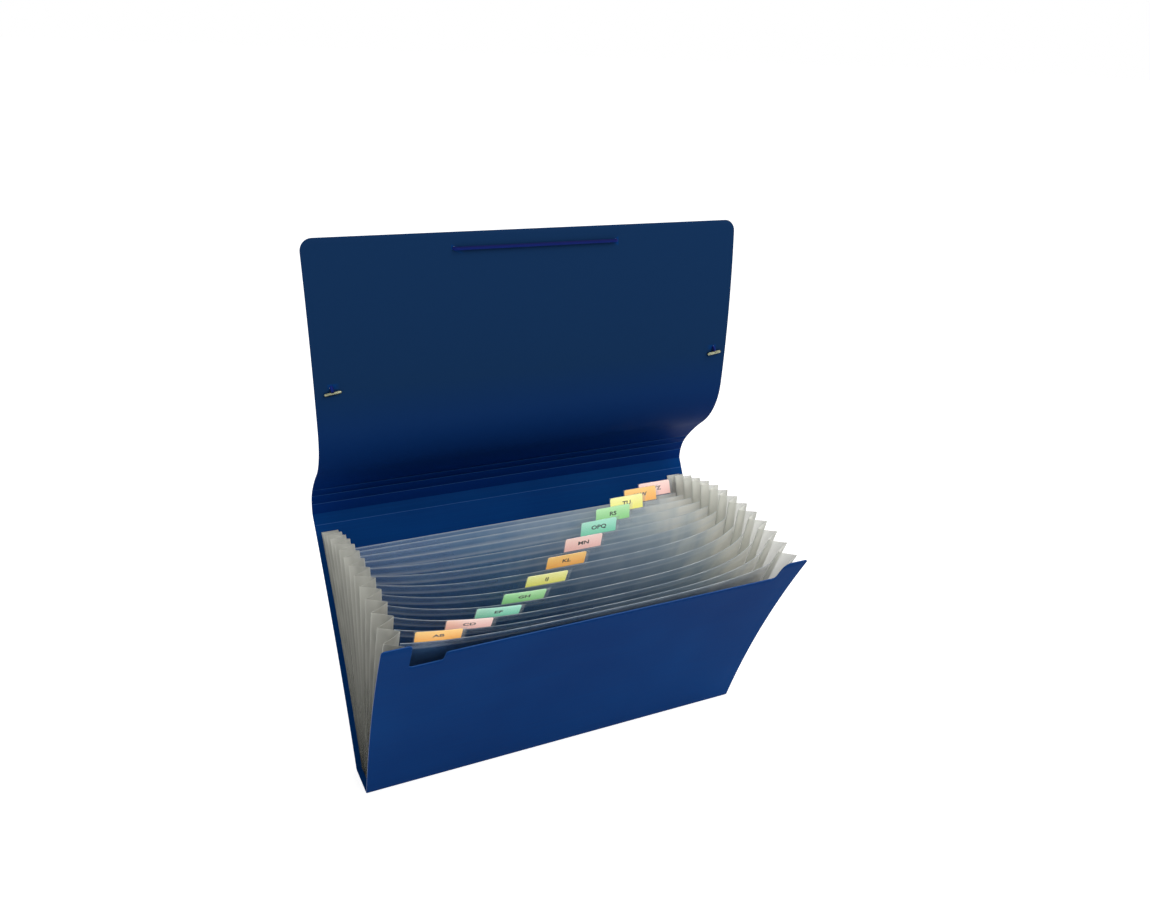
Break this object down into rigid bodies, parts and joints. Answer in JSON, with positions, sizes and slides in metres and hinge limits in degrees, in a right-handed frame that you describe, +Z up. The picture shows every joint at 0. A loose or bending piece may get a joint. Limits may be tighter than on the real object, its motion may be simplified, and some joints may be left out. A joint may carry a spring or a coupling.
{
  "type": "sorting folder",
  "caption": "Open expanding folder with a plastic cover, pleated film sides, film dividers with lettered colour tabs, and a hinged lid with an elastic cord.",
  "frame": {"origin": "middle of the underside of the bottom band", "axes": "+Z up, +X along the width, the front panel faces -Y and the lid is hinged at the back"},
  "size_m": [0.35, 0.2021, 0.4255],
  "materials": {
    "cover_plastic": "satin, finely brushed polypropylene sheet",
    "gusset_film": "clear film, milky where it is pleated",
    "divider_film": "clear frosted film",
    "tab_film": "clear glossy film",
    "card_orange": "printed card",
    "card_pink": "printed card",
    "card_mint": "printed card",
    "card_green": "printed card",
    "card_yellow": "printed card",
    "elastic_cord": "braided elastic",
    "bar_metal": "bright plated metal"
  },
  "bodies": {
    "file": {"cover": "cover_plastic", "left_gusset": "gusset_film", "right_gusset": "gusset_film", "divider_1": "divider_film", "tab_sleeve_1": "tab_film", "label_card_1": "card_orange", "divider_2": "divider_film", "tab_sleeve_2": "tab_film", "label_card_2": "card_pink", "divider_3": "divider_film", "tab_sleeve_3": "tab_film", "label_card_3": "card_mint", "divider_4": "divider_film", "tab_sleeve_4": "tab_film", "label_card_4": "card_green", "divider_5": "divider_film", "tab_sleeve_5": "tab_film", "label_card_5": "card_yellow", "divider_6": "divider_film", "tab_sleeve_6": "tab_film", "label_card_6": "card_orange", "divider_7": "divider_film", "tab_sleeve_7": "tab_film", "label_card_7": "card_pink", "divider_8": "divider_film", "tab_sleeve_8": "tab_film", "label_card_8": "card_mint", "divider_9": "divider_film", "tab_sleeve_9": "tab_film", "label_card_9": "card_green", "divider_10": "divider_film", "tab_sleeve_10": "tab_film", "label_card_10": "card_yellow", "divider_11": "divider_film", "tab_sleeve_11": "tab_film", "label_card_11": "card_orange", "divider_12": "divider_film", "tab_sleeve_12": "tab_film", "label_card_12": "card_pink"},
    "lid": {"lid": "cover_plastic", "elastic": "elastic_cord", "elastic_bar_left": "bar_metal", "elastic_bar_right": "bar_metal"}
  },
  "joints": [
    {"name": "lid_hinge", "type": "hinge", "parent": "file", "child": "lid", "pos_m": [0, 0.10424, 0.19884], "axis": [1, 0, 0], "range_deg": [-155, 45]}
  ]
}
